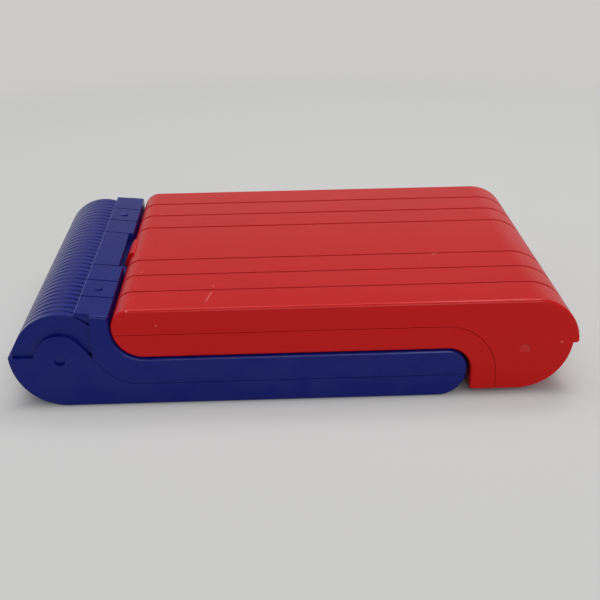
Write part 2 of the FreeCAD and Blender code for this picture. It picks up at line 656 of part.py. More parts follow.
cells = []
for place in range(CELL_COUNT):
    cell_y = -cells_half + place * CELL_LENGTH
    can = cross_rod(axle_x, cell_z, CELL_RADIUS, cell_y, cell_y + CELL_LENGTH - CELL_CAP_HEIGHT)
    cap = cross_rod(axle_x, cell_z, CELL_CAP_RADIUS, cell_y, cell_y + CELL_LENGTH)
    cells.append(can.fuse(cap).removeSplitter())
nodes["battery_cells"] = Part.makeCompound(cells)


def contact(side):
    """A contact plate on the cradle's end wall."""
    back = cradle_half - CRADLE_WALL
    return cross_rod(axle_x, cell_z, CELL_RADIUS / 2, *mirrored_span(side, back - CONTACT_THICKNESS, back))


def contact_spring():
    """The coil that pushes the row of cells from its flat end, clear of both by a hair."""
    end = CONTACT_SPRING_WIRE_RADIUS + CONTACT_SPRING_CLEARANCE
    rise = CONTACT_SPRING_LENGTH - 2 * end
    helix = Part.makeHelix(rise / CONTACT_SPRING_TURNS, rise, CONTACT_SPRING_RADIUS)
    ring_centre = FreeCAD.Vector(CONTACT_SPRING_RADIUS, 0, 0)
    ring = Part.makeCircle(CONTACT_SPRING_WIRE_RADIUS, ring_centre, FreeCAD.Vector(0, 1, 0))
    coil = Part.Wire(helix).makePipeShell([Part.Wire(ring)], True, True)
    coil.rotate(FreeCAD.Vector(0, 0, 0), FreeCAD.Vector(1, 0, 0), -90)
    start_y = -cradle_half + CRADLE_WALL + CONTACT_THICKNESS + end
    coil.translate(FreeCAD.Vector(axle_x, start_y, cell_z))
    return coil


nub_back = cradle_half - CRADLE_WALL - CONTACT_THICKNESS
nub = cross_rod(axle_x, cell_z, CELL_CAP_RADIUS, cells_half, nub_back)
nodes["battery_contacts"] = Part.makeCompound([contact(-1), contact(1).fuse(nub).removeSplitter()])
nodes["battery_spring"] = contact_spring()

# Ribbed battery cover: a toothed profile turned about the snap pins, with an ear at each end
cover_inner = cover_radius - COVER_THICKNESS
rib_pitch = 2 * cover_half / RIB_COUNT
profile = [(cover_inner, -cover_half), (cover_radius, -cover_half)]
for rib in range(1, RIB_COUNT):
    groove_y = -cover_half + rib * rib_pitch
    profile.append((cover_radius, groove_y - RIB_GROOVE_WIDTH / 2))
    profile.append((cover_radius - RIB_GROOVE_DEPTH, groove_y))
    profile.append((cover_radius, groove_y + RIB_GROOVE_WIDTH / 2))
profile += [(cover_radius, cover_half), (cover_inner, cover_half), (cover_inner, -cover_half)]
corners = [FreeCAD.Vector(axle_x + radius, y, axle_z) for radius, y in profile]
axle = FreeCAD.Vector(axle_x, 0, axle_z)
backwards = FreeCAD.Vector(0, -1, 0)
ribbed = Part.Face(Part.makePolygon(corners))
ribbed.rotate(axle, backwards, COVER_START_ANGLE)
ribbed = ribbed.revolve(axle, backwards, COVER_END_ANGLE - COVER_START_ANGLE)


def cover_ear(side):
    y_from, y_to = mirrored_span(side, cover_half - COVER_THICKNESS, cover_half)
    sector = wedge(axle_x, axle_z, cover_radius - PART_GAP, EAR_START_ANGLE, COVER_END_ANGLE, y_from, y_to)
    return sector.fuse(cross_rod(axle_x, axle_z, EAR_HUB_RADIUS, y_from, y_to))


def snap_pin(side, x, z, inner, ramp_way):
    """A round pin through a cheek: its end face is ramped below for ramp_way 1, and above for -1."""
    rod = cross_rod(x, z, SNAP_PIN_RADIUS, *mirrored_span(side, inner, half))
    ramp = box(-half, half, 0, WALL, -SNAP_PIN_RADIUS * 2, SNAP_PIN_RADIUS * 2)
    ramp.rotate(FreeCAD.Vector(0, 0, 0), FreeCAD.Vector(1, 0, 0), -ramp_way * SNAP_RAMP_ANGLE)
    ramp.translate(FreeCAD.Vector(x, half, z + ramp_way * SNAP_PIN_RADIUS / 2))
    if side < 0:
        ramp = ramp.mirror(FreeCAD.Vector(0, 0, 0), FreeCAD.Vector(0, 1, 0))
    return rod.cut(ramp)


cover_pins = both_sides(lambda side: snap_pin(side, axle_x, axle_z, cover_half - COVER_THICKNESS, 1))
nodes["battery_cover"] = ribbed.fuse(both_sides(cover_ear) + cover_pins).removeSplitter()

# Side outlines of the lid shell and the screen bezel
seam_drop = pivot_z - lid_seam_z
lid_end_at_seam_x = pivot_x - math.sqrt(lid_end_radius**2 - seam_drop**2)
bezel_seam_z = lid_seam_z - PART_GAP
bezel_seam_round = LID_SEAM_ROUND - PART_GAP
bezel_end_at_seam_x = pivot_x - math.sqrt(lid_end_radius**2 - (pivot_z - bezel_seam_z)**2)


def lid_top(shape):
    """The lid's outside from its hinge end over the top and the hood to the foot."""
    shape.arc(pivot_x, pivot_z, pivot_x - lid_end_radius, pivot_z, -1, soft=True)
    shape.arc(lid_corner_x, pivot_z, lid_corner_x, HEIGHT, -1, soft=True)
    shape.line(hood_x, HEIGHT, soft=True)
    shape.arc(hood_x, hood_z, front_x, hood_z, -1, soft=True)
    shape.arc(front_x - HOOD_LIP_ROUND, hood_z, front_x - HOOD_LIP_ROUND, hood_lip_z, -1)
    shape.line(under_lip_x, hood_lip_z)
    shape.arc(under_x, under_z, under_x, FOOT_Z, -1)


shell_outline = Outline(lid_end_at_seam_x, lid_seam_z)
lid_top(shell_outline)
shell_outline.line(lid_seam_end_x, FOOT_Z)
shell_outline.line(lid_seam_end_x, lid_seam_end_z)
shell_outline.arc(lid_seam_x, lid_seam_end_z, lid_seam_x, lid_seam_z, 1)

bezel_outline = Outline(bezel_end_at_seam_x, bezel_seam_z)
bezel_outline.line(lid_seam_x, bezel_seam_z)
bezel_outline.arc(lid_seam_x, lid_seam_end_z, lid_seam_end_x - PART_GAP, lid_seam_end_z, -1)
bezel_outline.line(lid_seam_end_x - PART_GAP, FOOT_Z)
bezel_outline.line(hood_wall_x, FOOT_Z)
bezel_outline.line(hood_wall_x, lid_inner_z)
bezel_outline.arc(lid_inner_x, lid_inner_z, lid_inner_x, lid_under_z, 1)
bezel_outline.line(pivot_x, lid_under_z, soft=True)
bezel_outline.arc(pivot_x, pivot_z, bezel_end_at_seam_x, bezel_seam_z, -1, soft=True)

lid_outline = Outline(pivot_x, lid_under_z)
lid_outline.arc(pivot_x, pivot_z, lid_end_at_seam_x, lid_seam_z, -1)
lid_top(lid_outline)
lid_outline.line(hood_wall_x, FOOT_Z)
lid_outline.line(hood_wall_x, lid_inner_z)
lid_outline.arc(lid_inner_x, lid_inner_z, lid_inner_x, lid_under_z, 1)
lid_face = lid_outline.face()
lid_hollow_face = lid_face.makeOffset2D(-WALL)
lid_hollow = thick(lid_hollow_face, -inner_half, inner_half)
groove_band = lid_face.cut(lid_face.makeOffset2D(-GROOVE_DEPTH))

# Openings in the lid for the hinge posts and for the knuckle
swing_half = POST_HALF_WIDTH + POST_SWING_CLEARANCE
swing_reach = relief_radius * 2
swing_spread = math.degrees(math.asin(swing_half / lid_end_radius))
swing_from = POST_ANGLE - LID_OPEN_ANGLE - swing_spread


def post_swing(side):
    y_from, y_to = mirrored_span(side, post_inner, post_outer + POST_SIDE_CLEARANCE)
    swept = wedge(pivot_x, pivot_z, swing_reach, swing_from, POST_ANGLE, y_from, y_to)
    head = POST_HEAD_RADIUS + POST_SWING_CLEARANCE
    parked = arm(pivot_x, pivot_z, POST_ANGLE, swing_reach, swing_half, head, y_from, y_to)
    return swept.fuse(parked)


knuckle_corner = LID_END_ROUND + KNUCKLE_PROUD
knuckle_tip = polar(lid_corner_x, pivot_z, knuckle_corner, KNUCKLE_START_ANGLE)
knuckle_tip_angle = math.degrees(math.atan2(knuckle_tip[1] - pivot_z, knuckle_tip[0] - pivot_x))
knuckle_opening = wedge(
    pivot_x, pivot_z, swing_reach, knuckle_tip_angle - KNUCKLE_SLACK_ANGLE,
    KNUCKLE_END_ANGLE + KNUCKLE_SLACK_ANGLE, -relief_half, relief_half)
lid_cuts = both_sides(post_swing) + [knuckle_opening]

# Lid screw places shared by the shell, the bezel and the screws
lid_screw_rows = (pivot_x + LID_SCREW_REAR_MARGIN, lid_inner_x - LID_SCREW_FRONT_MARGIN)
lid_screw_y = half - LID_SCREW_EDGE
lid_screw_places = [(x, side * lid_screw_y) for x in lid_screw_rows for side in (-1, 1)]
lid_seat_z = lid_seam_z - SCREW_SEAT_WALL

# Lid shell: top, hood and hood cheeks, open underneath between the cheeks
hood_pin_hole = cross_rod(hood_pin_x, hood_pin_z, snap_hole_radius, -half - WALL, half + WALL)
hood_window_inner = under_round - WALL - PART_GAP
hood_window = Outline(lid_seam_end_x, FOOT_Z - WALL)
hood_window.line(lid_seam_end_x, FOOT_Z + WALL + PART_GAP)
hood_window.line(under_x, FOOT_Z + WALL + PART_GAP)
hood_window.arc(under_x, under_z, under_x + hood_window_inner, under_z, 1)
hood_window.line(under_x + under_round + WALL, under_z)
hood_window.line(under_x + under_round + WALL, FOOT_Z - WALL)
lip_guard = box(under_lip_x - HOOD_LIP_ROUND, front_x, -half, half, hood_lip_z, HEIGHT)
shell_window = hood_window.solid(-inner_half, inner_half).cut(lip_guard)
shell = shell_outline.rounded(half, EDGE_ROUND).cut([lid_hollow, shell_window])
shell_bosses = [upright_rod(x, y, SCREW_BOSS_RADIUS, lid_seam_z, HEIGHT - WALL / 2)
                for x, y in lid_screw_places]
shell = shell.fuse(shell_bosses).removeSplitter()
shell_bores = [upright_rod(x, y, bore_radius, 0, lid_seat_z + SCREW_GRIP + SCREW_SEAT_WALL + PART_GAP)
               for x, y in lid_screw_places]
grooves = [thick(groove_band, y - GROOVE_WIDTH / 2, y + GROOVE_WIDTH / 2) for y in groove_places]
nodes["lid_shell"] = shell.cut(lid_cuts + [hood_pin_hole] + shell_bores + grooves)

# Screen bezel: underside of the lid with the screen window, hinge webs and closing nubs
bezel = bezel_outline.rounded(half, EDGE_ROUND).cut(lid_hollow)
bezel_bosses = [upright_rod(x, y, SCREW_BOSS_RADIUS, lid_under_z + WALL / 2, lid_seam_z)
                for x, y in lid_screw_places]


def hinge_web(side):
    inner = post_outer + POST_SIDE_CLEARANCE
    y_from, y_to = mirrored_span(side, inner, inner + HINGE_WEB_THICKNESS)
    reach = lid_end_radius - WALL / 2
    return arm(pivot_x, pivot_z, 270, reach, POST_HEAD_RADIUS, POST_HEAD_RADIUS, y_from, y_to)


nub_rows = (pivot_x + SCREW_EDGE, lid_inner_x - SCREW_EDGE)
nub_places = [(x, side * case_screw_y) for x in nub_rows for side in (-1, 1)]
nubs = [upright_rod(x, y, STOP_NUB_RADIUS, deck_z + HINGE_CLEARANCE, lid_under_z + WALL / 2)
        for x, y in nub_places]
bezel = bezel.fuse(bezel_bosses + both_sides(hinge_web) + nubs).removeSplitter()
screen_window = soft_plate(
    screen_rear_x, screen_front_x, -screen_half, screen_half,
    lid_under_z - WALL, lid_under_z + 2 * WALL, SCREEN_CORNER_ROUND)
bezel_cuts = [upright_rod(x, y, bore_radius, 0, HEIGHT) for x, y in lid_screw_places]
bezel_cuts += [upright_rod(x, y, counterbore_radius, 0, lid_seat_z) for x, y in lid_screw_places]
bezel_cuts.append(cross_rod(pivot_x, pivot_z, pin_bore_radius, -half, half))
nodes["screen_bezel"] = bezel.cut(lid_cuts + bezel_cuts + [screen_window])

# Screen: clear window stuck behind the bezel, display panel and its board
lens_low_z = lid_under_z + WALL
panel_low_z = lens_low_z + LENS_THICKNESS
panel_board_z = panel_low_z + PANEL_THICKNESS
nodes["screen_window"] = soft_plate(
    screen_rear_x - LENS_OVERLAP, screen_front_x + LENS_OVERLAP, -screen_half - LENS_OVERLAP,
    screen_half + LENS_OVERLAP, lens_low_z, panel_low_z, SCREEN_CORNER_ROUND)
nodes["display_panel"] = box(
    screen_rear_x, screen_front_x, -screen_half, screen_half, panel_low_z, panel_board_z)
display_board = box(
    screen_rear_x + BOARD_MARGIN, screen_front_x - BOARD_MARGIN, -screen_half + BOARD_MARGIN,
    screen_half - BOARD_MARGIN, panel_board_z, panel_board_z + BOARD_THICKNESS)
driver_chip = box(0, CHIP_HALF_SIZE, -CHIP_HALF_SIZE, CHIP_HALF_SIZE, panel_board_z + BOARD_THICKNESS,
                  panel_board_z + BOARD_THICKNESS + CHIP_HEIGHT)
nodes["display_board"] = display_board.fuse(driver_chip)

# Hinge pin and the knuckle that shows in the strip's notch
pin_half = post_outer + POST_SIDE_CLEARANCE + HINGE_WEB_THICKNESS
nodes["hinge_pin"] = cross_rod(pivot_x, pivot_z, HINGE_PIN_RADIUS, -pin_half, pin_half)
knuckle = Outline(*polar(pivot_x, pivot_z, knuckle_radius, KNUCKLE_END_ANGLE))
knuckle.arc(pivot_x, pivot_z, pivot_x - knuckle_radius, pivot_z, -1)
knuckle.arc(lid_corner_x, pivot_z, *knuckle_tip, -1)
knuckle.line(pivot_x, pivot_z)
knuckle_block = knuckle.solid(-KNUCKLE_HALF_WIDTH, KNUCKLE_HALF_WIDTH)
knuckle_hub = cross_rod(pivot_x, pivot_z, POST_HEAD_RADIUS, -KNUCKLE_HALF_WIDTH, KNUCKLE_HALF_WIDTH)
knuckle_block = knuckle_block.fuse(knuckle_hub).cut(cross_rod(pivot_x, pivot_z, pin_bore_radius, -half, half))
nodes["hinge_knuckle"] = knuckle_block.removeSplitter()

# Hood cover: curved speaker grille between the cheeks, held by two snap pins
grille_half = inner_half - COVER_SIDE_CLEARANCE
grille_inner = under_round - HOOD_COVER_THICKNESS
grille_start_x = lid_seam_end_x + PART_GAP
grille_lip_z = hood_lip_z - PART_GAP
grille = Outline(grille_start_x, FOOT_Z)
grille.line(under_x, FOOT_Z)
grille_drop = under_z - grille_lip_z
grille.arc(under_x, under_z, under_x + math.sqrt(under_round**2 - grille_drop**2), grille_lip_z, 1)
grille.line(under_x + math.sqrt(grille_inner**2 - grille_drop**2), grille_lip_z)
grille.arc(under_x, under_z, under_x, FOOT_Z + HOOD_COVER_THICKNESS, -1)
grille.line(grille_start_x, FOOT_Z + HOOD_COVER_THICKNESS)
hood_cover = grille.solid(-grille_half, grille_half)


def hood_ear(side):
    """A leaf from the grille up to its snap pin."""
    y_from, y_to = mirrored_span(side, grille_half - COVER_THICKNESS, grille_half)
    leaf = box(hood_pin_x - EAR_HUB_RADIUS, hood_pin_x + EAR_HUB_RADIUS, y_from, y_to,
               FOOT_Z + HOOD_COVER_THICKNESS / 2, hood_pin_z)
    hub = cross_rod(hood_pin_x, hood_pin_z, EAR_HUB_RADIUS, y_from, y_to)
    pin = snap_pin(side, hood_pin_x, hood_pin_z, grille_half - COVER_THICKNESS, -1)
    return leaf.fuse([hub, pin])


speaker_centre = FreeCAD.Vector(under_x, 0, under_z)
speaker_way = FreeCAD.Vector(*polar(0, 0, 1, SPEAKER_AXIS_ANGLE), 0)
speaker_way = FreeCAD.Vector(speaker_way.x, 0, speaker_way.y)
ring_outer = SPEAKER_RADIUS + PART_GAP + SPEAKER_RING_WALL
ring_low = math.sqrt(grille_inner**2 - ring_outer**2)
speaker_face = ring_low - SPEAKER_RIM


def on_speaker(radius, near, far):
    """A round bar on the speaker's axis, between two distances from the hood's centre."""
    return Part.makeCylinder(radius, far - near, speaker_centre + speaker_way * near, speaker_way)


ring = on_speaker(ring_outer, speaker_face, grille_inner + HOOD_COVER_THICKNESS / 2)
ring = ring.common(cross_rod(under_x, under_z, under_round - HOOD_COVER_THICKNESS / 2, -half, half))
ring = ring.cut(on_speaker(SPEAKER_RADIUS - SPEAKER_RING_WALL, 0, HEIGHT))
hood_cover = hood_cover.fuse(both_sides(hood_ear) + [ring]).removeSplitter()
slots = []
for place in range(GRILLE_SLOTS):
    slot_y = (place - (GRILLE_SLOTS - 1) / 2) * GRILLE_SLOT_PITCH
    slot_reach = math.sqrt((SPEAKER_RADIUS - 2 * SPEAKER_RING_WALL)**2 - slot_y**2)
    slot_y_from = slot_y - GRILLE_SLOT_WIDTH / 2
    slot = box(grille_inner - ring_low / 2, HEIGHT, slot_y_from, slot_y_from + GRILLE_SLOT_WIDTH,
               -slot_reach, slot_reach)
    slot.rotate(FreeCAD.Vector(0, 0, 0), FreeCAD.Vector(0, -1, 0), SPEAKER_AXIS_ANGLE)
    slot.translate(speaker_centre)
    slots.append(slot)
nodes["hood_cover"] = hood_cover.cut(slots)

# Speaker: frame with its magnet, and the cone in it
frame_back = speaker_face - SPEAKER_DEPTH
frame_wall = SPEAKER_RIM
frame = on_speaker(SPEAKER_RADIUS, speaker_face - SPEAKER_RIM, speaker_face)
basket = Part.makeCone(SPEAKER_MAGNET_RADIUS, SPEAKER_RADIUS, SPEAKER_DEPTH - SPEAKER_RIM,
                       speaker_centre + speaker_way * frame_back, speaker_way)
magnet = on_speaker(SPEAKER_MAGNET_RADIUS, frame_back - SPEAKER_DEPTH / 2, frame_back)
bowl = Part.makeCone(
    SPEAKER_MAGNET_RADIUS - frame_wall, SPEAKER_RADIUS - frame_wall, SPEAKER_DEPTH - frame_wall,
    speaker_centre + speaker_way * (frame_back + frame_wall), speaker_way)
nodes["speaker_frame"] = frame.fuse([basket, magnet]).cut(bowl).removeSplitter()
cone_outer = SPEAKER_RADIUS - frame_wall - PART_GAP
cone_inner = SPEAKER_MAGNET_RADIUS - frame_wall - PART_GAP
cone_near = frame_back + frame_wall
cone_depth = SPEAKER_DEPTH - frame_wall
cone_start = speaker_centre + speaker_way * cone_near
cone = Part.makeCone(cone_inner, cone_outer, cone_depth, cone_start, speaker_way)
cone_hollow = Part.makeCone(cone_inner - PART_GAP, cone_outer - 2 * PART_GAP, cone_depth,
                            speaker_centre + speaker_way * (cone_near + 2 * PART_GAP), speaker_way)
nodes["speaker_cone"] = cone.cut(cone_hollow)


def screw(x, y, seat_z):
    """A cross-slotted screw whose head sits under seat_z and whose shank goes up."""
    head = upright_rod(x, y, SCREW_HEAD_RADIUS, seat_z - SCREW_HEAD_HEIGHT, seat_z)
    shank = upright_rod(x, y, SCREW_RADIUS, seat_z, seat_z + SCREW_SEAT_WALL + SCREW_GRIP)
    reach = SCREW_HEAD_RADIUS - SCREW_RECESS_SLOT
    low = seat_z - SCREW_HEAD_HEIGHT
    slim = SCREW_RECESS_SLOT / 2
    across = box(x - reach, x + reach, y - slim, y + slim, low, low + SCREW_RECESS_SLOT)
    along = box(x - slim, x + slim, y - reach, y + reach, low, low + SCREW_RECESS_SLOT)
    return head.fuse(shank).cut([across, along]).removeSplitter()


# Screws and foot pads
nodes["case_screws"] = Part.makeCompound([screw(x, y, case_seat_z) for x, y in case_screw_places])
nodes["lid_screws"] = Part.makeCompound([screw(x, y, lid_seat_z) for x, y in lid_screw_places])
nodes["foot_pads"] = Part.makeCompound([upright_rod(x, y, PAD_RADIUS, 0, pad_seat_z) for x, y in pad_places])

os.makedirs("parts", exist_ok=True)
for name, shape in nodes.items():
    shape.exportStep("parts/" + name + ".step")
    print(name, len(shape.Solids), round(shape.Volume), shape.isValid())
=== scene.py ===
import bpy
import math
import numpy as np
from mathutils import Matrix, Vector


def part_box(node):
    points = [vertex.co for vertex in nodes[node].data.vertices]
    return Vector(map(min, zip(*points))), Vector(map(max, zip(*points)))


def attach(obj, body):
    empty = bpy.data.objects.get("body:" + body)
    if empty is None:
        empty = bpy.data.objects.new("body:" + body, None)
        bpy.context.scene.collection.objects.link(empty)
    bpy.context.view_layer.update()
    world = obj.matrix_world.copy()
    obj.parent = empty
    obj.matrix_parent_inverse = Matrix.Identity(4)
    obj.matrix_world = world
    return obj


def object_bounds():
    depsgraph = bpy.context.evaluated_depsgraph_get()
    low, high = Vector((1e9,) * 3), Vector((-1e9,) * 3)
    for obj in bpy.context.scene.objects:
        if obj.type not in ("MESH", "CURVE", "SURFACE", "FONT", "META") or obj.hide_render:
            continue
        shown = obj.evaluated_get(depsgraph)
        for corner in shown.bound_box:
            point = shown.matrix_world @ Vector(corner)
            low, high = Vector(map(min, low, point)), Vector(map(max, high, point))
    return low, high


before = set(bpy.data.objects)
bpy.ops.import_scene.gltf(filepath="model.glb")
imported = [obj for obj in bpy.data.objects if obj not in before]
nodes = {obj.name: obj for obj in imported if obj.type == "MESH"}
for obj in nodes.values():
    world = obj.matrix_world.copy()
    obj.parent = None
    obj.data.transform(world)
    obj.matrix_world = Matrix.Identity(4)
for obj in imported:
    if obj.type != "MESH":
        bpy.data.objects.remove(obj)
cad_low, cad_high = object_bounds()

# Blue case: the tray, the deck with the strip, and the ribbed battery cover.
# Injection-moulded glossy ABS, screwed together from below; the cover snaps in on two pins.
# A painted highlight runs along the strip's left edge and part of the deck's rim; the ribs carry painted
# shade in their grooves and a painted highlight on their crests.


class Tone:
    """A shader value that takes part in Python sums: each operator adds one Math node."""

    def __init__(self, finish, socket):
        self.finish = finish
        self.socket = socket

    def sum(self, operation, first, second):
        return self.finish.node("ShaderNodeMath", {"operation": operation}, {0: first, 1: second})

    def __add__(self, other):
        return self.sum("ADD", self, other)

    def __radd__(self, other):
        return self.sum("ADD", other, self)

    def __sub__(self, other):
        return self.sum("SUBTRACT", self, other)

    def __rsub__(self, other):
        return self.sum("SUBTRACT", other, self)

    def __mul__(self, other):
        return self.sum("MULTIPLY", self, other)

    def __rmul__(self, other):
        return self.sum("MULTIPLY", other, self)

    def __truediv__(self, other):
        return self.sum("DIVIDE", self, other)

    def __rtruediv__(self, other):
        return self.sum("DIVIDE", other, self)

    def least(self, other):
        return self.sum("MINIMUM", self, other)

    def most(self, other):
        return self.sum("MAXIMUM", self, other)

    def size(self):
        return self.sum("ABSOLUTE", self, 0)

    def past_whole(self):
        """What is left over the whole number below."""
        return self.sum("FRACT", self, 0)

    def from_lines(self, pitch):
        """Distance to the nearest of a row of lines, one of them at 0 and the rest a pitch apart."""
        return self.sum("PINGPONG", self, pitch / 2)

    def fade(self, full, gone):
        """1 as far as full, then falling smoothly to 0 at gone, which may lie on either side of it."""
        return self.finish.node(
            "ShaderNodeMapRange", {"interpolation_type": "SMOOTHSTEP"},
            {"Value": self, "From Min": full, "From Max": gone, "To Min": 1, "To Max": 0})


class Wiring:
    """The nodes of a material or of the room's light."""

    def __init__(self, tree):
        self.tree = tree

    def node(self, kind, settings=None, inputs=None, out=0):
        """Adds a node: its settings come first, then the values or links of its sockets."""
        made = self.tree.nodes.new(kind)
        for name, value in (settings or {}).items():
            setattr(made, name, value)
        for name, value in (inputs or {}).items():
            if isinstance(value, Tone):
                self.tree.links.new(value.socket, made.inputs[name])
            else:
                made.inputs[name].default_value = value
        return Tone(self, made.outputs[out])

    def shown(self, amount, lit, even):
        """The lit shader for the light's own rays, and the even one for rays that show the background."""
        camera_ray, glossy_ray, clear_ray = (
            self.node("ShaderNodeLightPath", out=ray)
            for ray in ("Is Camera Ray", "Is Glossy Ray", "Is Transmission Ray"))
        rays = camera_ray.most(glossy_ray).most(clear_ray)
        both = self.node("ShaderNodeMixShader", inputs={"Fac": rays * amount, 1: lit, 2: even})
        output = next(node for node in self.tree.nodes if node.name.endswith("Output"))
        self.tree.links.new(both.socket, output.inputs["Surface"])


class Finish(Wiring):
    """A material with one surface shader, built up from Tone sums."""

    def __init__(self, name, **constants):
        self.material = bpy.data.materials.new(name)
        self.material.use_nodes = True
        super().__init__(self.material.node_tree)
        self.shader = self.tree.nodes["Principled BSDF"]
        for socket, value in constants.items():
            self.shader.inputs[socket.replace("_", " ")].default_value = value
        self.place = self.node("ShaderNodeTexCoord", out="Object")
        self.x, self.y, self.z = (
            self.node("ShaderNodeSeparateXYZ", inputs={0: self.place}, out=axis) for axis in "XYZ")

    def noise(self, scale, detail, stretch=(1, 1, 1)):
        """Cloudy noise from 0 to 1, with scale in blobs per metre."""
        place = self.node("ShaderNodeMapping", inputs={"Vector": self.place, "Scale": stretch})
        return self.node("ShaderNodeTexNoise", inputs={"Vector": place, "Scale": scale, "Detail": detail})

    def mix(self, amount, first, second):
        """The first colour where amount is 0 and the second where it is 1."""
        return self.node("ShaderNodeMix", {"data_type": "RGBA"},
                         {"Factor": amount, "A": first, "B": second}, out="Result")

    def feed(self, socket, tone):
        self.tree.links.new(tone.socket, self.shader.inputs[socket])

    def roughen(self, pattern, smooth, spread):
        """Roughness from smooth where the pattern is 0, up by spread where it is 1."""
        self.feed("Roughness", smooth + pattern * spread)

    def mottle(self, pattern, dark, pale, smooth, spread):
        """One pattern in both: from the dark colour to the pale one, and in Roughness."""
        self.feed("Base Color", self.mix(pattern, dark, pale))
        self.roughen(pattern, smooth, spread)

    def bump(self, height, depth, strength):
        """A Bump node on the surface normal, with depth in metres."""
        self.feed("Normal", self.node(
            "ShaderNodeBump", inputs={"Height": height, "Distance": depth, "Strength": strength},
            out="Normal"))

    def onto(self, *names):
        for name in names:
            nodes[name].data.materials.clear()
            nodes[name].data.materials.append(self.material)


def colour(red, green, blue):
    """A colour as seen, 0 to 255, as the linear values that a shader takes."""
    seen = np.array([red, green, blue]) / 255
    linear = np.where(seen <= 0.04045, seen / 12.92, ((seen + 0.055) / 1.055) ** 2.4)
    return (*linear, 1.0)


CASE_GLOSS = 0.17
HAZE_DULLING = 0.06
GRAIN_DULLING = 0.03
GRAIN_HEIGHT = 0.5
PEEL_HEIGHT = 0.25
SKIN_DEPTH = 0.00002
SKIN_STRENGTH = 0.5


def moulded(name, deep, pale, gloss):
    """Moulded plastic: faint cloudy colour, orange-peel skin and patches of handling haze."""
    finish = Finish(name, Specular_IOR_Level=0.22)
    cloud = finish.noise(scale=14, detail=3)
    haze = finish.noise(scale=38, detail=4)
    grain = finish.noise(scale=900, detail=2)
    peel = finish.noise(scale=2600, detail=1)
    finish.body = finish.mix(cloud, deep, pale)
    finish.shine = gloss + haze * HAZE_DULLING + grain * GRAIN_DULLING
    finish.skin = grain * GRAIN_HEIGHT + peel * PEEL_HEIGHT
    return finish


DUST_FADE = (0.62, 0.36)
DUST_AMOUNT = 0.015


def blue_plastic(name):
    """Deep blue plastic with a trace of dust in its cloudy patches."""
    finish = moulded(name, colour(3, 17, 103), colour(5, 20, 108), CASE_GLOSS)
    dust = finish.noise(scale=55, detail=5).fade(*DUST_FADE)
    finish.body = finish.mix(dust * DUST_AMOUNT, finish.body, colour(120, 124, 150))
    finish.feed("Roughness", finish.shine)
    finish.bump(finish.skin, SKIN_DEPTH, SKIN_STRENGTH)
    return finish


tray_blue = blue_plastic("tray_blue")
tray_blue.feed("Base Color", tray_blue.body)
tray_blue.onto("base_tray")

STRIP_EDGE_X = -0.1385
STRIP_EDGE_Z = 0.0643
STRIP_EDGE_FADE = (0.0003**2, 0.0008**2)
RIM_Z = 0.0319
RIM_FADE = (0.0002, 0.0008)
RIM_INSET_FADE = (0.0004, 0.0008)
RIM_FRONT_FADE = (0.102, 0.106)
RIM_REAR_FADE = (0.095, 0.040)
deck_blue = blue_plastic("deck_blue")
# Painted highlight: a paler blue line along the strip's left edge and along part of the deck's front and
# back rim, where rounded edges catch the light.
edge_x = deck_blue.x - STRIP_EDGE_X
edge_z = deck_blue.z - STRIP_EDGE_Z
strip_edge = (edge_x * edge_x + edge_z * edge_z).fade(*STRIP_EDGE_FADE)
deck_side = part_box("keyboard_deck")[1].y
rim_side = deck_blue.y.size().fade(*(deck_side - inset for inset in RIM_INSET_FADE))
rim_run = deck_blue.x.fade(*RIM_FRONT_FADE) * deck_blue.x.fade(*RIM_REAR_FADE)
rim_edge = (deck_blue.z - RIM_Z).size().fade(*RIM_FADE) * rim_side * rim_run
painted_edge_highlight = strip_edge.most(rim_edge) * deck_blue.noise(scale=160, detail=3)
deck_blue.feed("Base Color", deck_blue.mix(painted_edge_highlight, deck_blue.body, colour(86, 96, 164)))
deck_blue.onto("keyboard_deck")

RIBBED_WIDTH = 0.2522
RIB_COUNT = 34
RIB_PITCH = RIBBED_WIDTH / RIB_COUNT
RIBS_END_FADE = (0.1245, 0.1255)
GROOVE_SHADE_FADE = (0.0002, 0.0013)
GROOVE_SHADE_AMOUNT = 0.75
CREST_FADE = (RIB_PITCH / 2, 0.0016)
CREST_HIGHLIGHT_AMOUNT = 0.3
cover_blue = blue_plastic("cover_blue")
from_groove = cover_blue.y.from_lines(RIB_PITCH)
ribbed = cover_blue.y.size().fade(*RIBS_END_FADE)
# Painted shade darkens the rib grooves towards a near-black blue, and a painted highlight lightens the rib
# crests.
painted_groove_shade = from_groove.fade(*GROOVE_SHADE_FADE) * ribbed
painted_crest_highlight = from_groove.fade(*CREST_FADE) * ribbed
cover_body = cover_blue.mix(painted_crest_highlight * CREST_HIGHLIGHT_AMOUNT, cover_blue.body, colour(38, 50, 150))
cover_blue.feed("Base Color", cover_blue.mix(painted_groove_shade * GROOVE_SHADE_AMOUNT, cover_body, colour(2, 6, 52)))
cover_blue.onto("battery_cover")

# Battery bay: a black moulded trough holding four C cells in a row, with steel contacts.
# The cells have printed jackets: a dark body and a copper-coloured band at the cap end.
black = moulded("black_moulding", colour(24, 24, 26), colour(34, 34, 36), gloss=0.42)
black.feed("Base Color", black.body)
black.feed("Roughness", black.shine)
black.bump(black.skin, SKIN_DEPTH, SKIN_STRENGTH)
black.onto("battery_cradle")

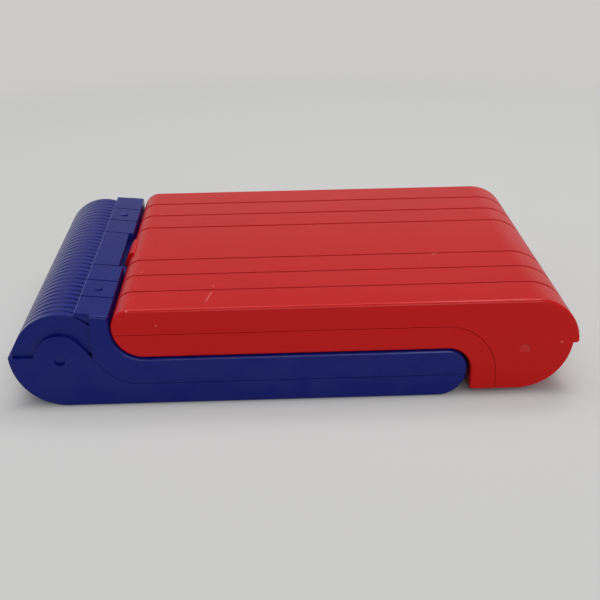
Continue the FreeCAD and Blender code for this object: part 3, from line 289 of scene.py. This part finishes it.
CELL_COUNT = 4
BAND_MIDDLE = 0.82
BAND_FADE = (0.13, 0.14)
CRIMP_MIDDLE = 0.985
CRIMP_FADE = (0.035, 0.04)
FOIL_METAL = 0.9
cell_low, cell_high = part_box("battery_cells")
cell_length = (cell_high.y - cell_low.y) / CELL_COUNT
jacket = Finish("cell_jacket", Specular_IOR_Level=0.5)
along_cell = ((jacket.y - cell_low.y) / cell_length).past_whole()
band = (along_cell - BAND_MIDDLE).size().fade(*BAND_FADE)
crimp = (along_cell - CRIMP_MIDDLE).size().fade(*CRIMP_FADE)
ink = jacket.mix(band, colour(26, 27, 30), colour(176, 104, 52))
jacket.feed("Base Color", jacket.mix(crimp, ink, colour(170, 170, 168)))
jacket.feed("Metallic", band.most(crimp) * FOIL_METAL)
jacket.roughen(jacket.noise(scale=120, detail=3), smooth=0.26, spread=0.14)
jacket.onto("battery_cells")

steel = Finish("plain_steel", Metallic=1.0)
streak = steel.noise(scale=700, detail=3, stretch=(1, 0.08, 1))
steel.mottle(streak, colour(150, 150, 152), colour(196, 196, 198), smooth=0.26, spread=0.22)
steel.bump(streak, depth=0.00001, strength=0.4)
steel.onto("battery_contacts", "battery_spring", "hinge_pin", "case_screws", "lid_screws")

# Circuit boards, and the silicone dome sheet that lies on the lower one under the keys.
# The boards are pressed laminate with copper tracks under a green mask; the sheet is cast, milky and soft.
TRACK_PITCH_X = 0.0044
TRACK_PITCH_Y = 0.0062
TRACK_FADE = (0.0003, 0.0005)
board = Finish("solder_mask", Specular_IOR_Level=0.5)
tracks = board.x.from_lines(TRACK_PITCH_X).least(board.y.from_lines(TRACK_PITCH_Y)).fade(*TRACK_FADE)
board.feed("Base Color", board.mix(tracks, colour(20, 84, 44), colour(48, 124, 66)))
board.roughen(board.noise(scale=300, detail=2), smooth=0.34, spread=0.12)
board.bump(tracks, depth=0.00004, strength=0.6)
board.onto("main_board", "display_board")

silicone = Finish("silicone_sheet", Specular_IOR_Level=0.4)
milk = silicone.noise(scale=60, detail=3)
silicone.mottle(milk, colour(196, 198, 194), colour(216, 217, 212), smooth=0.5, spread=0.15)
silicone.onto("key_dome_sheet")

# Keys: hollow moulded caps that stand in the deck's well, held by a flange under the deck.
# Letters are cream with dark printed ink; the wide keys and the mode keys are yellow.


def key_plastic(name, deep, pale):
    """Satin keycap plastic with a fine spark-eroded grain."""
    finish = moulded(name, deep, pale, gloss=0.36)
    finish.feed("Base Color", finish.body)
    finish.feed("Roughness", finish.shine)
    finish.bump(finish.skin, depth=0.00004, strength=0.7)
    return finish


LETTERS = "abcdefghijklmnopqrstuvwxyz"
WIDE_WORDS = {
    "key_erase": "ERASE", "key_enter": "ENTER",
    "key_quiz": "QUIZ", "key_music": "MUSIC", "key_repeat": "REPEAT"}
letter_keys = ["key_" + letter for letter in LETTERS]
cream = key_plastic("cream_keycap", colour(214, 206, 184), colour(228, 221, 202))
cream.onto(*letter_keys)
yellow = key_plastic("yellow_keycap", colour(226, 164, 30), colour(238, 182, 52))
yellow.onto("key_space", "power_switch", *WIDE_WORDS)


def printing_ink(name, scale, dark, pale):
    """Pad-printed ink, rubbed paler and duller in patches."""
    finish = Finish(name, Specular_IOR_Level=0.4)
    finish.mottle(finish.noise(scale, detail=3), dark, pale, smooth=0.45, spread=0.2)
    return finish


def facing(place, across, upward, outward):
    """The matrix that carries x, y and z onto the three given directions, at place."""
    return Matrix.Translation(place) @ Matrix((across, upward, outward)).transposed().to_4x4()


def mounted(name, mesh, finish, body):
    """Puts a new mesh into the scene in its finish, riding on a body."""
    mesh.materials.clear()
    mesh.materials.append(finish.material)
    piece = bpy.data.objects.new(name, mesh)
    bpy.context.scene.collection.objects.link(piece)
    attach(piece, body)


READER_RIGHT = Vector((0, 1, 0))
READER_AWAY = Vector((-1, 0, 0))
PRINT_LIFT = 0.00004
CURVE_STEPS = 3


def printed(name, words, height, place, body, finish):
    """Flat lettering as a mesh, centred on place and read from the front end of the base."""
    text = bpy.data.curves.new(name, "FONT")
    text.body = words
    text.size = height
    text.align_x = "CENTER"
    text.align_y = "CENTER"
    text.resolution_u = CURVE_STEPS
    holder = bpy.data.objects.new(name + "_text", text)
    bpy.context.scene.collection.objects.link(holder)
    bpy.context.view_layer.update()
    mesh = bpy.data.meshes.new_from_object(holder.evaluated_get(bpy.context.evaluated_depsgraph_get()))
    bpy.data.objects.remove(holder)
    mesh.transform(facing(place, READER_RIGHT, READER_AWAY, READER_RIGHT.cross(READER_AWAY)))
    mounted(name, mesh, finish, body)


LETTER_HEIGHT = 0.0115
WORD_HEIGHT = 0.0085
legend_ink = printing_ink("legend_ink", 420, colour(22, 24, 46), colour(40, 42, 66))
for key in letter_keys + list(WIDE_WORDS):
    key_low, key_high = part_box(key)
    words = WIDE_WORDS.get(key, key[-1].upper())
    height = WORD_HEIGHT if key in WIDE_WORDS else LETTER_HEIGHT
    key_top = ((key_low.x + key_high.x) / 2, (key_low.y + key_high.y) / 2, key_high.z + PRINT_LIFT)
    printed(key + "_legend", words, height, key_top, key, legend_ink)

# Power switch: a small yellow moulded slider in the well, with its two places marked on the deck.
# The words are printed in white on the blue floor beside the slot.
WELL_FLOOR_Z = 0.0270
SWITCH_TRAVEL = 0.006
SWITCH_MARK_GAP = 0.013
SWITCH_WORD_HEIGHT = 0.006
white_ink = printing_ink("white_ink", 380, colour(206, 208, 214), colour(230, 231, 235))
switch_low, switch_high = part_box("power_switch")
switch_x = (switch_low.x + switch_high.x) / 2
switch_y = (switch_low.y + switch_high.y) / 2
switch_marks = {"OFF": switch_y - SWITCH_MARK_GAP, "ON": switch_y + SWITCH_TRAVEL + SWITCH_MARK_GAP}
for words, mark_y in switch_marks.items():
    mark = (switch_x, mark_y, WELL_FLOOR_Z + PRINT_LIFT)
    printed("switch_" + words.lower(), words, SWITCH_WORD_HEIGHT, mark, "base", white_ink)

# Red lid: the shell with the hood, the bezel under it, the hinge knuckle and the speaker grille.
# Glossy ABS, moulded in two halves and screwed from the inside; the grille snaps in between the cheeks.
# Play has scratched and chipped it, and left the round ends and the grooves' shoulders duller; the
# shoulders also carry painted shade.
red = moulded("red_moulding", colour(184, 5, 6), colour(192, 9, 9), CASE_GLOSS)

SCRATCH_WIDTH = 0.0004
SCRATCH_CORE = 0.2
SCRATCH_Z_FADE = (0.066, 0.040)
CHIP_CORE = 0.3


def scratch(start, end):
    """1 on a thin straight scratch seen from above: squared distance to the nearest point of the line."""
    reach_x = end[0] - start[0]
    reach_y = end[1] - start[1]
    length = math.hypot(reach_x, reach_y)
    off_x = red.x - start[0]
    off_y = red.y - start[1]
    along = (off_x * (reach_x / length) + off_y * (reach_y / length)).most(0).least(length)
    gap_x = off_x - along * (reach_x / length)
    gap_y = off_y - along * (reach_y / length)
    return (gap_x * gap_x + gap_y * gap_y).fade(SCRATCH_CORE * SCRATCH_WIDTH**2, SCRATCH_WIDTH**2)


def chip(place, size):
    """1 on a small chip: the squared distance to its middle, faded out at its size."""
    off_x = red.x - place[0]
    off_y = red.y - place[1]
    off_z = red.z - place[2]
    return (off_x * off_x + off_y * off_y + off_z * off_z).fade(CHIP_CORE * size**2, size**2)


SCRATCHES = (
    ((-0.0560, -0.1168), (-0.0530, -0.1004)),
    ((-0.0524, -0.0900), (-0.0520, -0.0878)),
    ((0.0987, -0.0401), (0.1028, -0.0349)),
)
CHIPS = (
    ((0.1707, -0.1290, 0.0366), 0.0008),
    ((-0.0873, -0.1290, 0.0553), 0.0006),
    ((-0.1018, -0.0602, 0.0660), 0.0008),
    ((-0.1053, -0.1285, 0.0655), 0.0010),
)
scuffs = scratch(*SCRATCHES[0])
for ends in SCRATCHES[1:]:
    scuffs = scuffs.most(scratch(*ends))
scuffs = scuffs * red.z.fade(*SCRATCH_Z_FADE)
for place, size in CHIPS:
    scuffs = scuffs.most(chip(place, size))

HAIRLINE_FADE = (0.26, 0.30)
HANDLED_FADE = (0.34, 0.44)
hairlines = red.noise(scale=900, detail=2, stretch=(0.04, 1, 1)).fade(*HAIRLINE_FADE)
handled = hairlines * red.noise(scale=26, detail=2).fade(*HANDLED_FADE)

GROOVE_PLACES_Y = (0.0359, 0.0661, 0.0963)
SHOULDER_FADE = (0.0010, 0.0028)
SHOULDER_Z_FADE = (0.040, 0.036)
side_y = red.y.size()
to_groove = (side_y - GROOVE_PLACES_Y[0]).size()
for groove_y in GROOVE_PLACES_Y[1:]:
    to_groove = to_groove.least((side_y - groove_y).size())
shoulders = to_groove.fade(*SHOULDER_FADE) * red.z.fade(*SHOULDER_Z_FADE)

HINGE_END_FADE = (-0.120, -0.096)
HOOD_END_FADE = (0.172, 0.148)
CHEEK_FADE = (0.1265, 0.1280)
round_ends = red.x.fade(*HINGE_END_FADE).most(red.x.fade(*HOOD_END_FADE)) * side_y.fade(*CHEEK_FADE)

SHOULDER_SHADE_AMOUNT = 0.6
SCUFF_TINT = 0.45
SCUFF_DULLING = 0.3
HANDLED_DULLING = 0.08
SHOULDER_DULLING = 0.35
END_DULLING = 0.16
SCUFF_DEPTH = 2
# Painted shade: the base colour turns a deeper red on the grooves' shoulders.
red_body_with_groove_shade = red.mix(shoulders * SHOULDER_SHADE_AMOUNT, red.body, colour(160, 2, 3))
red.feed("Base Color", red.mix(scuffs * SCUFF_TINT, red_body_with_groove_shade, colour(222, 150, 146)))
scuffed_shine = red.shine + scuffs * SCUFF_DULLING + handled * HANDLED_DULLING
red.feed("Roughness", scuffed_shine + shoulders * SHOULDER_DULLING + round_ends * END_DULLING)
red.bump(red.skin - scuffs * SCUFF_DEPTH, SKIN_DEPTH, SKIN_STRENGTH)
red.onto("lid_shell", "screen_bezel", "hinge_knuckle", "hood_cover")

# Screen: a clear moulded window stuck behind the bezel, over a grey-green liquid crystal panel.
# The panel is glass ruled into square picture cells, and the dark ones spell a plain greeting.
window = Finish("clear_window", Transmission_Weight=1.0, IOR=1.46)
smear = window.noise(scale=45, detail=4)
window.mottle(smear, colour(240, 243, 242), colour(250, 252, 251), smooth=0, spread=0.06)
window.onto("screen_window")

CELL_PITCH = 0.0018
CELL_FILL = 0.9
CELL_LIFT = 0.0002
RULING_FADE = (0.00008, 0.0002)
RULING_TINT = 0.3
panel_low, panel_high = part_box("display_panel")
panel_middle = (panel_low + panel_high) / 2
panel = Finish("crystal_panel", Specular_IOR_Level=0.5)
from_rule_x = (panel.x - panel_middle.x + CELL_PITCH / 2).from_lines(CELL_PITCH)
from_rule_y = (panel.y - panel_middle.y + CELL_PITCH / 2).from_lines(CELL_PITCH)
ruling = from_rule_x.least(from_rule_y).fade(*RULING_FADE)
tint = panel.noise(scale=9, detail=2)
glassy = panel.mix(tint, colour(134, 146, 116), colour(148, 158, 128))
panel.feed("Base Color", panel.mix(ruling * RULING_TINT, glassy, colour(160, 168, 140)))
panel.roughen(tint, smooth=0.22, spread=0.08)
panel.onto("display_panel")

dark_crystal = Finish("dark_crystal", Specular_IOR_Level=0.4)
unevenness = dark_crystal.noise(scale=60, detail=2)
dark_crystal.mottle(unevenness, colour(30, 38, 36), colour(50, 58, 52), smooth=0.36, spread=0.1)

GLYPH_ROWS = {
    " ": "..... ..... ..... ..... ..... ..... .....",
    "A": ".###. #...# #...# ##### #...# #...# #...#",
    "E": "##### #.... #.... ####. #.... #.... #####",
    "H": "#...# #...# #...# ##### #...# #...# #...#",
    "K": "#...# #..#. #.#.. ##... #.#.. #..#. #...#",
    "L": "#.... #.... #.... #.... #.... #.... #####",
    "N": "#...# ##..# #.#.# #..## #...# #...# #...#",
    "O": ".###. #...# #...# #...# #...# #...# .###.",
    "P": "####. #...# #...# ####. #.... #.... #....",
    "R": "####. #...# #...# ####. #.#.. #..#. #...#",
    "S": ".#### #.... #.... .###. ....# ....# ####.",
    "Y": "#...# #...# .#.#. ..#.. ..#.. ..#.. ..#..",
}


def surface(name, points, faces):
    """A mesh from whole arrays: points of three places each, faces of four point numbers each."""
    mesh = bpy.data.meshes.new(name)
    mesh.from_pydata(points.reshape(-1, 3).tolist(), [], faces.tolist())
    return mesh


def dark_cells(name, words, dot_cells, forward_cells):
    """One square per dark dot: its row and column, times the dot's pitch, from the words' middle."""
    lines = zip(*(GLYPH_ROWS[letter].split() for letter in words))
    dark = np.array([list(".".join(line)) for line in lines]) == "#"
    row, column = np.nonzero(dark)
    dot_pitch = dot_cells * CELL_PITCH
    to_grid = (dot_cells - 1) / 2 * CELL_PITCH
    side = (dot_cells - 1 + CELL_FILL) * CELL_PITCH
    corner = np.array([[-1, -1], [1, -1], [1, 1], [-1, 1]]) * side / 2
    middle_x = panel_middle.x + forward_cells * CELL_PITCH + to_grid
    middle_y = panel_middle.y + to_grid
    points = np.empty((len(row), 4, 3))
    points[:, :, 0] = middle_x + ((dark.shape[0] - 1) / 2 - row[:, None]) * dot_pitch + corner[:, 1]
    points[:, :, 1] = middle_y + (column[:, None] - (dark.shape[1] - 1) / 2) * dot_pitch + corner[:, 0]
    points[:, :, 2] = panel_low.z - CELL_LIFT
    faces = np.arange(4 * len(row)).reshape(-1, 4)
    mounted(name, surface(name, points, faces), dark_crystal, "lid")


dark_cells("screen_greeting", "HELLO", dot_cells=2, forward_cells=9)
dark_cells("screen_prompt", "PRESS ANY KEY", dot_cells=1, forward_cells=-14)

# Speaker: a pressed steel frame with a black paper cone, behind the slots of the hood cover.
# The frame is held in the cover's moulded ring, and the cone is glued to its rim.
pressed = Finish("pressed_frame", Metallic=0.9)
dull = pressed.noise(scale=160, detail=3)
pressed.mottle(dull, colour(90, 90, 92), colour(128, 128, 130), smooth=0.4, spread=0.15)
pressed.onto("speaker_frame")

paper = Finish("paper_cone", Specular_IOR_Level=0.2)
fibre = paper.noise(scale=1400, detail=4)
paper.mottle(fibre, colour(26, 25, 24), colour(48, 46, 43), smooth=0.8, spread=0.15)
paper.bump(fibre, depth=0.00006, strength=0.7)
paper.onto("speaker_cone")

# Foot pads: black rubber discs with a dusty bloom, punched from sheet.
# They are glued into round seats under the tray.
rubber = Finish("black_rubber", Specular_IOR_Level=0.3)
bloom = rubber.noise(scale=260, detail=4)
rubber.mottle(bloom, colour(22, 22, 22), colour(44, 44, 43), smooth=0.72, spread=0.2)
rubber.bump(bloom, depth=0.00005, strength=0.6)
rubber.onto("foot_pads")

# Stage: a pale paper sweep that runs from the floor up into a wall behind the object.
# A wide lamp hangs overhead, a small one stands at the right, and a weak one fills the front.
BEND_STEPS = 24


def sweep(half_width, front, back, bend, height):
    """A profile carried across the width: flat floor, a quarter circle of radius bend, upright wall."""
    angle = np.linspace(0, math.pi / 2, BEND_STEPS)
    profile_y = np.concatenate([[front], back - bend + bend * np.sin(angle), [back]])
    profile_z = np.concatenate([[0], bend - bend * np.cos(angle), [height]])
    count = len(profile_y)
    points = np.zeros((2, count, 3))
    points[0, :, 0] = -half_width
    points[1, :, 0] = half_width
    points[:, :, 1] = profile_y
    points[:, :, 2] = profile_z
    step = np.arange(count - 1)
    faces = np.stack([step, step + count, step + count + 1, step + 1], axis=1)
    mesh = surface("sweep", points, faces)
    mesh.polygons.foreach_set("use_smooth", np.ones(count - 1, bool))
    return mesh


SHADOW_REACH = 0.4
EVEN_REACH = 1.1
SHADOW_SOFTENING = 0.55
CONTACT_REACH = 0.012
WALL_FADE = (0.1, 1.6)
EVEN_TONE = colour(204, 203, 202)
paper_sweep = Finish("pale_sweep", Specular_IOR_Level=0.1, Roughness=0.9)
cloudiness = paper_sweep.noise(scale=3, detail=2)
paper_sweep.feed("Base Color", paper_sweep.mix(cloudiness, colour(197, 197, 196), colour(202, 202, 201)))
distance_squared = paper_sweep.x * paper_sweep.x + paper_sweep.y * paper_sweep.y
far_floor = distance_squared.fade(EVEN_REACH**2, SHADOW_REACH**2)
clear_of_object = (paper_sweep.x.size() - cad_high.x).most(paper_sweep.y.size() - cad_high.y)
softened = clear_of_object.fade(CONTACT_REACH, -CONTACT_REACH) * SHADOW_SOFTENING
evened = softened.most(far_floor) * paper_sweep.z.fade(*WALL_FADE)
lit_sweep = Tone(paper_sweep, paper_sweep.shader.outputs["BSDF"])
even_sweep = paper_sweep.node("ShaderNodeEmission", inputs={"Color": EVEN_TONE})
paper_sweep.shown(evened, lit_sweep, even_sweep)
sweep_mesh = sweep(half_width=6.0, front=-3.0, back=3.4, bend=1.4, height=4.0)
backdrop = bpy.data.objects.new("backdrop", sweep_mesh)
backdrop.data.materials.append(paper_sweep.material)
bpy.context.scene.collection.objects.link(backdrop)


def soft_light(name, place, target, width, depth, watts):
    """A rectangular lamp at place that looks at target."""
    lamp = bpy.data.lights.new(name, "AREA")
    lamp.shape = "RECTANGLE"
    lamp.size = width
    lamp.size_y = depth
    lamp.energy = watts
    holder = bpy.data.objects.new(name, lamp)
    holder.location = place
    holder.rotation_euler = (Vector(target) - Vector(place)).to_track_quat("-Z", "Y").to_euler()
    bpy.context.scene.collection.objects.link(holder)


soft_light("overhead", place=(-0.35, 0.35, 1.5), target=(0, 0, 0.05), width=1.6, depth=1.2, watts=10)
soft_light("right_window", place=(0.5, 0.45, 1.35), target=(0.05, 0, 0.05), width=0.5, depth=0.5, watts=7.5)
soft_light("front_fill", place=(0.3, -1.6, 0.8), target=(0, 0, 0.03), width=1.2, depth=0.8, watts=9)

ROOM_LIGHT = (0.96, 0.97, 1.0, 1.0)
ROOM_STRENGTH = 0.42
world = bpy.data.worlds.new("studio")
world.use_nodes = True
room = Wiring(world.node_tree)
lit_room = room.node("ShaderNodeBackground", inputs={"Color": ROOM_LIGHT, "Strength": ROOM_STRENGTH})
even_room = room.node("ShaderNodeBackground", inputs={"Color": EVEN_TONE})
room.shown(1, lit_room, even_room)
bpy.context.scene.world = world

# Camera: where the photograph was taken from, a little above the front edge.
# The place, the angles and the lens come from a fit to the object's outline.
CAMERA_PLACE = (-0.0150, -0.8092, 0.3414)
CAMERA_YAW = 0.02727
CAMERA_PITCH = 0.37935
CAMERA_ROLL = -0.01657
CAMERA_LENS = 70.28
SENSOR_WIDTH = 36.0
lens = bpy.data.cameras.new("photo_camera")
lens.lens = CAMERA_LENS
lens.sensor_width = SENSOR_WIDTH
camera = bpy.data.objects.new("photo_camera", lens)
ahead = Vector((
    math.sin(CAMERA_YAW) * math.cos(CAMERA_PITCH),
    math.cos(CAMERA_YAW) * math.cos(CAMERA_PITCH),
    -math.sin(CAMERA_PITCH)))
level = Vector((math.cos(CAMERA_YAW), -math.sin(CAMERA_YAW), 0))
above = level.cross(ahead)
right = math.cos(CAMERA_ROLL) * level + math.sin(CAMERA_ROLL) * above
up = -math.sin(CAMERA_ROLL) * level + math.cos(CAMERA_ROLL) * above
camera.matrix_world = facing(CAMERA_PLACE, right, up, -ahead)
bpy.context.scene.collection.objects.link(camera)
bpy.context.scene.camera = camera
bpy.context.scene.view_settings.view_transform = "Standard"
